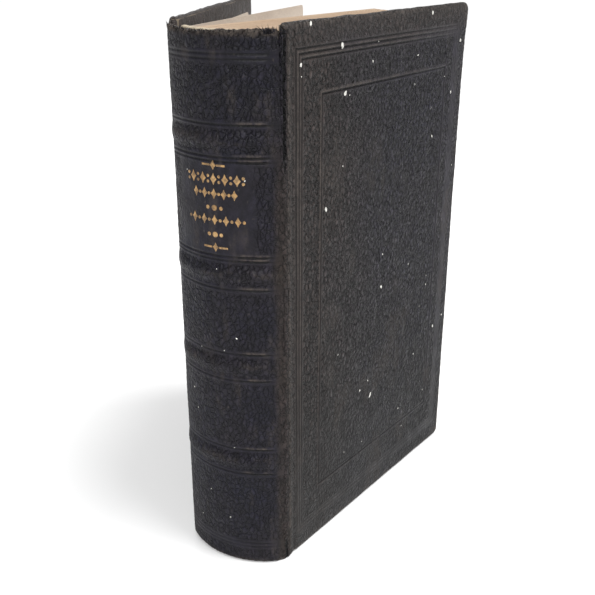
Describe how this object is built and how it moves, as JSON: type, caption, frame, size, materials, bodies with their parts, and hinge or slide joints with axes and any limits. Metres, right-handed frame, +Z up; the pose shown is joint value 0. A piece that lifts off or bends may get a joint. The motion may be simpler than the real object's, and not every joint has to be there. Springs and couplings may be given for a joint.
{
  "type": "prayer book",
  "caption": "Small thick leather-bound prayer book that stands on its tail, with a ribbed round spine, tooled covers that swing open and leaves that fan with them.",
  "frame": {"origin": "middle of the spine, on the tail end of its leather, where the book stands", "axes": "+Z up from tail to head, +X from the spine to the fore-edge, +Y from the front cover to the back cover"},
  "size_m": [0.0973, 0.0773, 0.15],
  "materials": {
    "cover_leather": "black grained leather, blind tooled, worn brown at the edges",
    "spine_leather": "black grained leather, worn grey at the caps",
    "joint_leather": "rubbed brown leather, cracked at the head",
    "millboard": "grey-brown millboard",
    "endpaper": "toned plain paper",
    "leaf_paper": "thin cream book paper",
    "spine_card": "brown card",
    "cap_cord": "twisted hemp cord",
    "gilt": "rubbed gold leaf",
    "lining_cloth": "glued mull and paper",
    "linen_tape": "woven linen tape",
    "sewing_thread": "linen thread",
    "endband": "plain rolled cloth"
  },
  "bodies": {
    "spine": {"spine_leather": "spine_leather", "front_joint_leather": "joint_leather", "back_joint_leather": "joint_leather", "spine_inlay": "spine_card", "raised_band_core_1": "spine_card", "raised_band_core_2": "spine_card", "raised_band_core_3": "spine_card", "raised_band_core_4": "spine_card", "headcap_cord": "cap_cord", "tailcap_cord": "cap_cord", "gilt_ornament": "gilt", "spine_lining": "lining_cloth", "sewing_tape_1": "linen_tape", "sewing_tape_2": "linen_tape", "sewing_tape_3": "linen_tape", "kettle_stitches": "sewing_thread", "section_folds": "leaf_paper", "head_endband": "endband", "tail_endband": "endband"},
    "front_cover": {"front_board": "millboard", "front_cover_leather": "cover_leather", "front_pastedown": "endpaper"},
    "back_cover": {"back_board": "millboard", "back_cover_leather": "cover_leather", "back_pastedown": "endpaper"},
    "front_endpaper": {"front_free_endpaper": "endpaper"},
    "back_endpaper": {"back_free_endpaper": "endpaper"},
    "section_01": {"leaves_01": "leaf_paper"},
    "section_02": {"leaves_02": "leaf_paper"},
    "section_03": {"leaves_03": "leaf_paper"},
    "section_04": {"leaves_04": "leaf_paper"},
    "section_05": {"leaves_05": "leaf_paper"},
    "section_06": {"leaves_06": "leaf_paper"},
    "section_07": {"leaves_07": "leaf_paper"},
    "section_08": {"leaves_08": "leaf_paper"},
    "section_09": {"leaves_09": "leaf_paper"},
    "section_10": {"leaves_10": "leaf_paper"},
    "section_11": {"leaves_11": "leaf_paper"},
    "section_12": {"leaves_12": "leaf_paper"},
    "section_13": {"leaves_13": "leaf_paper"},
    "section_14": {"leaves_14": "leaf_paper"},
    "section_15": {"leaves_15": "leaf_paper"},
    "section_16": {"leaves_16": "leaf_paper"}
  },
  "joints": [
    {"name": "front_cover_hinge", "type": "hinge", "parent": "spine", "child": "front_cover", "pos_m": [0.0076, -0.0165, 0.075], "axis": [0, 0, -1], "range_deg": [0, 170], "deforming": ["front_joint_leather"]},
    {"name": "back_cover_hinge", "type": "hinge", "parent": "spine", "child": "back_cover", "pos_m": [0.0076, 0.0165, 0.075], "axis": [0, 0, 1], "range_deg": [-29, 149], "deforming": ["back_joint_leather"]},
    {"name": "front_endpaper_turn", "type": "hinge", "parent": "spine", "child": "front_endpaper", "pos_m": [0.0086, -0.0132, 0.075], "axis": [0, 0, -1], "range_deg": [-0.01, 88.41]},
    {"name": "back_endpaper_turn", "type": "hinge", "parent": "spine", "child": "back_endpaper", "pos_m": [0.0086, 0.0132, 0.075], "axis": [0, 0, 1], "range_deg": [-16.83, 86.43]},
    {"name": "leaves_01_turn", "type": "hinge", "parent": "spine", "child": "section_01", "pos_m": [0.0086, -0.0121, 0.075], "axis": [0, 0, -1], "range_deg": [-0.01, 57.81]},
    {"name": "leaves_02_turn", "type": "hinge", "parent": "spine", "child": "section_02", "pos_m": [0.0086, -0.01049, 0.075], "axis": [0, 0, -1], "range_deg": [-0.01, 54.2]},
    {"name": "leaves_03_turn", "type": "hinge", "parent": "spine", "child": "section_03", "pos_m": [0.0086, -0.00888, 0.075], "axis": [0, 0, -1], "range_deg": [-0.01, 50.59]},
    {"name": "leaves_04_turn", "type": "hinge", "parent": "spine", "child": "section_04", "pos_m": [0.0086, -0.00726, 0.075], "axis": [0, 0, -1], "range_deg": [-0.01, 46.97]},
    {"name": "leaves_05_turn", "type": "hinge", "parent": "spine", "child": "section_05", "pos_m": [0.0086, -0.00565, 0.075], "axis": [0, 0, -1], "range_deg": [-0.01, 43.36]},
    {"name": "leaves_06_turn", "type": "hinge", "parent": "spine", "child": "section_06", "pos_m": [0.0086, -0.00403, 0.075], "axis": [0, 0, -1], "range_deg": [-0.01, 39.75]},
    {"name": "leaves_07_turn", "type": "hinge", "parent": "spine", "child": "section_07", "pos_m": [0.0086, -0.00242, 0.075], "axis": [0, 0, -1], "range_deg": [-0.01, 36.13]},
    {"name": "leaves_08_turn", "type": "hinge", "parent": "spine", "child": "section_08", "pos_m": [0.0086, -0.00081, 0.075], "axis": [0, 0, -1], "range_deg": [-0.01, 32.52]},
    {"name": "leaves_09_turn", "type": "hinge", "parent": "spine", "child": "section_09", "pos_m": [0.0086, 0.00081, 0.075], "axis": [0, 0, -1], "range_deg": [-0.01, 28.91]},
    {"name": "leaves_10_turn", "type": "hinge", "parent": "spine", "child": "section_10", "pos_m": [0.0086, 0.00242, 0.075], "axis": [0, 0, -1], "range_deg": [-0.01, 25.3]},
    {"name": "leaves_11_turn", "type": "hinge", "parent": "spine", "child": "section_11", "pos_m": [0.0086, 0.00403, 0.075], "axis": [0, 0, -1], "range_deg": [-0.01, 21.68]},
    {"name": "leaves_12_turn", "type": "hinge", "parent": "spine", "child": "section_12", "pos_m": [0.0086, 0.00565, 0.075], "axis": [0, 0, -1], "range_deg": [-0.01, 18.07]},
    {"name": "leaves_13_turn", "type": "hinge", "parent": "spine", "child": "section_13", "pos_m": [0.0086, 0.00726, 0.075], "axis": [0, 0, -1], "range_deg": [-0.01, 14.46]},
    {"name": "leaves_14_turn", "type": "hinge", "parent": "spine", "child": "section_14", "pos_m": [0.0086, 0.00888, 0.075], "axis": [0, 0, -1], "range_deg": [-0.01, 10.85]},
    {"name": "leaves_15_turn", "type": "hinge", "parent": "spine", "child": "section_15", "pos_m": [0.0086, 0.01049, 0.075], "axis": [0, 0, -1], "range_deg": [-0.01, 7.24]},
    {"name": "leaves_16_turn", "type": "hinge", "parent": "spine", "child": "section_16", "pos_m": [0.0086, 0.0121, 0.075], "axis": [0, 0, -1], "range_deg": [-0.01, 3.62]}
  ],
  "couplings": [
    {"joint": "front_endpaper_turn", "follows": "front_cover_hinge", "ratio": 0.52},
    {"joint": "back_endpaper_turn", "follows": "back_cover_hinge", "ratio": 0.58},
    {"joint": "leaves_01_turn", "follows": "front_cover_hinge", "ratio": 0.34},
    {"joint": "leaves_02_turn", "follows": "front_cover_hinge", "ratio": 0.31875},
    {"joint": "leaves_03_turn", "follows": "front_cover_hinge", "ratio": 0.2975},
    {"joint": "leaves_04_turn", "follows": "front_cover_hinge", "ratio": 0.27625},
    {"joint": "leaves_05_turn", "follows": "front_cover_hinge", "ratio": 0.255},
    {"joint": "leaves_06_turn", "follows": "front_cover_hinge", "ratio": 0.23375},
    {"joint": "leaves_07_turn", "follows": "front_cover_hinge", "ratio": 0.2125},
    {"joint": "leaves_08_turn", "follows": "front_cover_hinge", "ratio": 0.19125},
    {"joint": "leaves_09_turn", "follows": "front_cover_hinge", "ratio": 0.17},
    {"joint": "leaves_10_turn", "follows": "front_cover_hinge", "ratio": 0.14875},
    {"joint": "leaves_11_turn", "follows": "front_cover_hinge", "ratio": 0.1275},
    {"joint": "leaves_12_turn", "follows": "front_cover_hinge", "ratio": 0.10625},
    {"joint": "leaves_13_turn", "follows": "front_cover_hinge", "ratio": 0.085},
    {"joint": "leaves_14_turn", "follows": "front_cover_hinge", "ratio": 0.06375},
    {"joint": "leaves_15_turn", "follows": "front_cover_hinge", "ratio": 0.0425},
    {"joint": "leaves_16_turn", "follows": "front_cover_hinge", "ratio": 0.02125}
  ]
}
